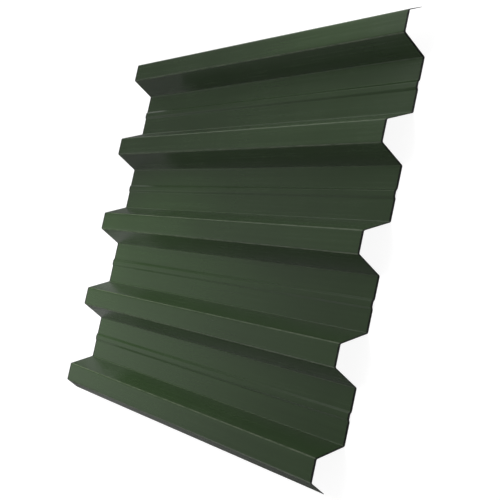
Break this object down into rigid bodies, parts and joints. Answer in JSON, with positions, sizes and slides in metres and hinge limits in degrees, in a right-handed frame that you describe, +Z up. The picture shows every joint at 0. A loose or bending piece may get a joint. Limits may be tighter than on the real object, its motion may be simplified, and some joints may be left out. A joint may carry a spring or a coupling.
{
  "type": "box profile roofing sheet",
  "caption": "Roll-formed steel roofing sheet with flat-topped trapezoidal ribs, a shallow stiffening bead along every pan, and short side lips that lap with the next sheet.",
  "frame": {"origin": "on the plane of the pans' undersides, below the middle of the sheet's outline", "axes": "+X across the ribs, from the longer side lip to the shorter one; +Y along the ribs; +Z up, from the pans to the rib tops"},
  "size_m": [0.92, 1.1, 0.06],
  "materials": {
    "coated_steel": "dark green polyester top coat, low satin gloss"
  },
  "bodies": {
    "root": {"roofing_sheet": "coated_steel"}
  },
  "joints": []
}
